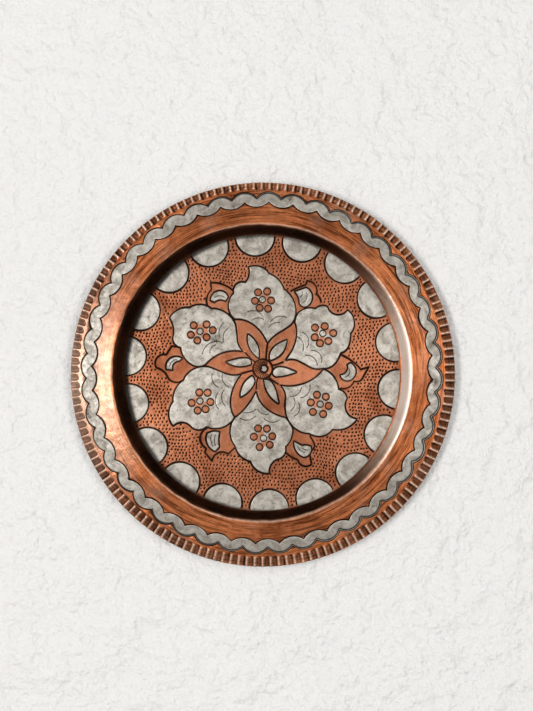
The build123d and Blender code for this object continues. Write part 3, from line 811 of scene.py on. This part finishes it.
def build_band():
    """Wall, shoulder and flange, out to the flutes."""
    s = Lathe(FLUTES * 11)
    inner, outer, side = s.curve(chain_loops[0]), s.curve(chain_loops[1]), inner_line(s.th)
    foot = bend((80, SHEET), (FOOT, SHEET), (SHOULDER, SHOULDER_Z), FOOT_BEND, 5)
    top = bend((FOOT, SHEET), (SHOULDER, SHOULDER_Z), (125, flange_z(125)), SHOULDER_BEND, 10)
    a, b = np.array(foot[-1]), np.array(top[0])
    wall = [(FLOOR_R, SHEET, 0, 1)] + foot + [tuple(a + (b - a) * f) for f in (0.25, 0.5, 0.75)] + top
    for r, z, nr, nz in wall:
        p = s.at(r)
        dent = (0.07 * wobble(p, 10, 4.0) + 0.05 * wobble(p, 24, 6.0)) * (r > FLOOR_R + 0.5)
        # patina in the wall plus painted shade, reaching highest toward the window; on the right the wall has
        # none and is painted pale as a painted reflection of the window, and a pale line runs just above the dark
        # band
        turn = (s.th + math.pi + 0.03) % (2 * math.pi) - math.pi
        reflection_side = np.exp(-np.abs(turn / 0.70) ** 3)
        toward_shadow = (0.5 + 0.5 * np.cos(s.th - SHADOW_SIDE)) ** 1.5
        rim = SHOULDER + 0.2 + 1.9 * toward_shadow + 0.3 * wobble(p, 8, 5.0)
        shade = smooth(FOOT - 1.6, FOOT - 0.9, r) * (1 - smooth(rim - 0.7, rim + 0.8, r))
        shade = shade * (0.99 + 0.05 * wobble(p, 17, 2.0)) * (1 - reflection_side)
        worn_and_reflection = 1.8 * reflection_side * smooth(FOOT - 0.6, FOOT + 0.3, r)
        worn_and_reflection = np.maximum(worn_and_reflection, 0.6 * np.exp(-((r - rim - 0.5) / 0.8) ** 2))
        s.put(r + nr * dent, z + nz * dent, shade, worn_and_reflection * (1 - smooth(SHOULDER + 1.6, SHOULDER + 2.6, r)))
    stations = [98.2, 100.5, 102.8, 104.9] + [inner - d for d in (1.5, 1.15, 0.9, 0.66, 0.4, 0.02)]
    stations += [inner + 0.4, (inner + outer) / 2, outer - 0.4]
    stations += [np.minimum(outer + d, SEAM - 0.01 - 0.02 * (5 - k))
                 for k, d in enumerate((0.02, 0.35, 0.6, 0.85, 1.1))]
    for r in stations + [SEAM]:
        p, seam = s.at(r), np.isscalar(r) and r > 118
        r = np.broadcast_to(r, len(s.th))
        under = (r > inner + 0.01) & (r < outer - 0.01)
        di, do, w = near_in(p), near_out(p), line_width(p, 6.0)
        # the outer line is drawn finer where a second one runs beside it
        do = do * (1 + 0.7 * smooth(0.5, 0.95, side)) * (r > inner) + 9 * (r <= inner)
        cut = np.where(under, 0.15, 0.34 * (1 - smooth(0.42 * w, 0.95 * w, np.minimum(di, do))))
        dark = np.where(under, 1.0, 1 - smooth(0.62 * w, 1.0 * w, np.minimum(di, do)))
        if seam:
            cut, dark = cut * 0, dark * 0
        # the flange's pale side is a painted highlight toward the window lamp
        s.put(r, flange_z(r) + 0.05 * wobble(p, 12, 8.0) - cut, dark, painted_highlight(s, p))
    for r in (SEAM, 112.0, 105.0, 99.5):
        uneven = 0.05 * np.abs(wobble(s.at(r), 11, 15.0)) * (r < 118)
        s.put(r, flange_z(r) - SHEET * math.hypot(1, SLOPE) + uneven)
    for r, z, nr, nz in reversed(wall):
        s.put(r - nr * SHEET, z - nz * SHEET)
    return s.build("dish_band", TURNED, ["dish"])


def build_flutes():
    """The pressed flutes and the trimmed edge, whose centre is the rim's."""
    s = Lathe(FLUTES * 18)
    along = s.unit @ WELL
    edge = -along + np.sqrt(along ** 2 - WELL @ WELL + RIM ** 2)
    k = s.th * FLUTES / (2 * math.pi)
    which = np.floor(k).astype(int) % FLUTES
    length, power, shift = (np.array([rng.uniform(a, b) for _ in range(FLUTES)])[which]
                            for a, b in ((-0.45, 0.45), (0.82, 1.12), (-0.03, 0.03)))
    v = 1 - (k - np.floor(k))            # clockwise from one ridge to the next
    bottom = 0.26 + shift
    fall = np.where(v < bottom, smooth(0, bottom, v), 1 - smooth(bottom, 1.0, v))

    def relief(r):
        back = np.clip((FLUTE_IN + 2.1 + length - r) / 2.3, 0, 2)
        groove = np.clip(fall - back ** 2, 0, 1)
        crest = np.minimum(np.abs(v - 0.94), v + 0.06)
        ridge = np.exp(-(crest / 0.21) ** 2) * smooth(FLUTE_IN + 0.2, FLUTE_IN + 1.6, r)
        z = 0.34 * ridge - 1.20 * power * groove
        # dark on the steep flank and bottom of each groove: patina in the hollow, darkened further as painted
        # shade of the flank
        mark = smooth(0.04, 0.13, v) * (1 - smooth(0.26, 0.58, v)) * smooth(0.0, 0.22, groove)
        # crest wear that also serves as a painted highlight on the crests
        return z, np.maximum(0.98 * mark, 0.22 * groove), 1.25 * ridge

    for f in (0, 0.045, 0.085, 0.13, 0.18, 0.24, 0.32, 0.43, 0.57, 0.74, 0.90, 1):
        r = SEAM + (edge - 0.16 - SEAM) * f
        z, mark, ridge = relief(r)
        p = s.at(r)
        bow = 0.05 * wobble(p, 12, 8.0)
        # painted highlight toward the window lamp: paler flutes and less dark in their grooves
        highlight = painted_highlight(s, p)
        mark = mark * (0.92 + 0.2 * wobble(p, 7, 2.0)) * (1 - 0.75 * highlight) * (f > 0)
        s.put(r, flange_z(r) + bow + z * (f > 0), mark, np.maximum(0.62 * ridge, highlight))
    z, mark, ridge = relief(edge)
    s.put(edge - 0.05, flange_z(edge) + z - 0.05, 0.3 * mark, ridge)
    s.put(edge, flange_z(edge) + z - 0.18, 0.2, 0.6)
    s.put(edge, flange_z(edge) + z - 0.85, 0.2, 0.2)
    for f in (0.12, 1.2, 2.6, 4.0):
        r = edge - f
        s.put(r, flange_z(r) - 1.02 + relief(r)[0])
    s.put(SEAM, flange_z(SEAM) - 1.02)
    return s.build("dish_flutes", TURNED, ["dish"])


def build_chain():
    s = Lathe(FLUTES * 11)
    inner, outer = s.curve(chain_loops[0]), s.curve(chain_loops[1])
    side, width = inner_line(s.th), outer - inner
    stations = [inner + d for d in (0, 0.13, 0.32, 0.6, 0.95)]
    stations += [inner + 0.95 + (width - 3.0) * f for f in (0.25, 0.5, 0.75, 1.0)]
    stations += [outer - d for d in (1.7, 1.45, 1.2, 0.98, 0.76, 0.55, 0.35, 0.15, 0)]
    for n, r in enumerate(stations):
        p = s.at(r)
        di, do = near_in(p) * (n > 0), near_out(p) * (n < len(stations) - 1)
        d, deep = np.minimum(di, do), side > 0.45
        z = flange_z(r) + 0.2 - 0.30 * (1 - np.clip(d / 0.5, 0, 1)) ** 2
        z -= 0.20 * deep * np.exp(-((do - side) / 0.30) ** 2)
        z += 0.06 * wobble(p, 5, 3.0) * smooth(0.2, 1.5, d) + 0.025 * wobble(p, 2, 4.0) * smooth(0.2, 1.0, d)
        mark = deep * np.clip(1.6 * np.exp(-((do - side) / 0.36) ** 2), 0, 1)
        s.put(r, z, np.maximum(1 - smooth(0.04, 0.26, d), mark))
    for r in (outer, inner):
        s.put(r, flange_z(r) - 0.13, 1.0)
    return s.build("skin_chain", TIN, ["tin_chain"])


# ------------------------------------------------------------------ finishes of the hanger
STRAP = plain_metal("strap_copper", (0.66, 0.30, 0.15), (0.34, 0.13, 0.06), 0.34)
SOLDER = plain_metal("soft_solder", (0.55, 0.55, 0.54), (0.28, 0.28, 0.27), 0.40, 420.0)
WIRE = plain_metal("brass_wire", (0.74, 0.54, 0.27), (0.42, 0.28, 0.12), 0.28, 600.0)


# ------------------------------------------------------------------ hanger shapes
def from_cad(name, new, material, body, voxel, wave):
    """A CAD solid remeshed so that its edges are rounded, with a slight unevenness."""
    src = NODES[name].data
    mesh = bpy.data.meshes.new(new)
    mesh.from_pydata([v.co.copy() for v in src.vertices], [], [tuple(p.vertices) for p in src.polygons])
    mesh.materials.append(material)
    obj = bpy.data.objects.new(new, mesh)
    bpy.context.scene.collection.objects.link(obj)
    weld = obj.modifiers.new("weld", "WELD")
    weld.merge_threshold = 2e-6
    remesh = obj.modifiers.new("remesh", "REMESH")
    remesh.mode, remesh.voxel_size, remesh.use_smooth_shade = "VOXEL", voxel * MM, True
    soften = obj.modifiers.new("smooth", "SMOOTH")
    soften.iterations, soften.factor = 6, 0.6
    deps = bpy.context.evaluated_depsgraph_get()
    done = bpy.data.meshes.new_from_object(obj.evaluated_get(deps))
    obj.modifiers.clear()
    obj.data = done
    done.name = new
    for v in done.vertices:
        v.co += v.normal * (noise.noise(v.co * 900) * wave * MM)
    for p in done.polygons:
        p.use_smooth = True
    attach(obj, body)
    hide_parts(name)


build_floor()
for skin_name in SKINS:
    build_skin(skin_name)
build_band()
build_flutes()
build_chain()
from_cad("hanger_lug", "lug", STRAP, "tray", voxel=0.16, wave=0.03)
from_cad("hanger_solder", "solder_pad", SOLDER, "tray", voxel=0.14, wave=0.10)
from_cad("hanger_ring", "d_ring", WIRE, "ring", voxel=0.14, wave=0.02)

# ------------------------------------------------------------------ stage, light and camera
plaster = Shader("plaster")
lump = plaster.noise(34.0, 6.0, 0.55)
paint = plaster.mix(plaster.noise(6.0, 3.0), rgb(0.91, 0.91, 0.908), rgb(0.87, 0.87, 0.867))
lump = plaster.math("ADD", lump, plaster.math("MULTIPLY", plaster.noise(160.0, 4.0), 0.3))
wall_mat = plaster.finish(paint, 0.0, 0.9, plaster.bump(lump, 0.012, 0.8))
mesh = bpy.data.meshes.new("backdrop")
mesh.from_pydata([(-3, -3, -0.0005), (3, -3, -0.0005), (3, 3, -0.0005), (-3, 3, -0.0005)], [], [(0, 1, 2, 3)])
mesh.materials.append(wall_mat)
backdrop = bpy.data.objects.new("backdrop", mesh)
bpy.context.scene.collection.objects.link(backdrop)


def area(name, at, size, energy):
    """A soft lamp aimed at the tray."""
    lamp = bpy.data.lights.new(name, "AREA")
    lamp.shape, lamp.size, lamp.size_y = "RECTANGLE", size[0], size[1]
    lamp.energy, lamp.color = energy, DAYLIGHT
    obj = bpy.data.objects.new(name, lamp)
    obj.location = at
    obj.rotation_euler = (-Vector(at)).to_track_quat("-Z", "Y").to_euler()
    bpy.context.scene.collection.objects.link(obj)


area("window", (-1.50, 0.04, 2.60), (1.25, 0.55), 36.5)
area("bounce", (1.50, 0.0, 2.60), (1.0, 1.0), 15.5)
area("overhead", (0.0, 0.1, 1.5), (2.2, 2.2), 15.0)
world = bpy.data.worlds.new("room")
bpy.context.scene.world = world
world.use_nodes = True
world.node_tree.nodes["Background"].inputs["Color"].default_value = rgb(*DAYLIGHT)
world.node_tree.nodes["Background"].inputs["Strength"].default_value = 0.15
bpy.context.scene.view_settings.view_transform = "Standard"

cam = bpy.data.cameras.new("camera")
cam.lens, cam.sensor_width, cam.sensor_fit = 58.5, 36.0, "AUTO"
camera = bpy.data.objects.new("camera", cam)
camera.location = (0.0023, 0.0125, 0.76)
bpy.context.scene.collection.objects.link(camera)
bpy.context.scene.camera = camera
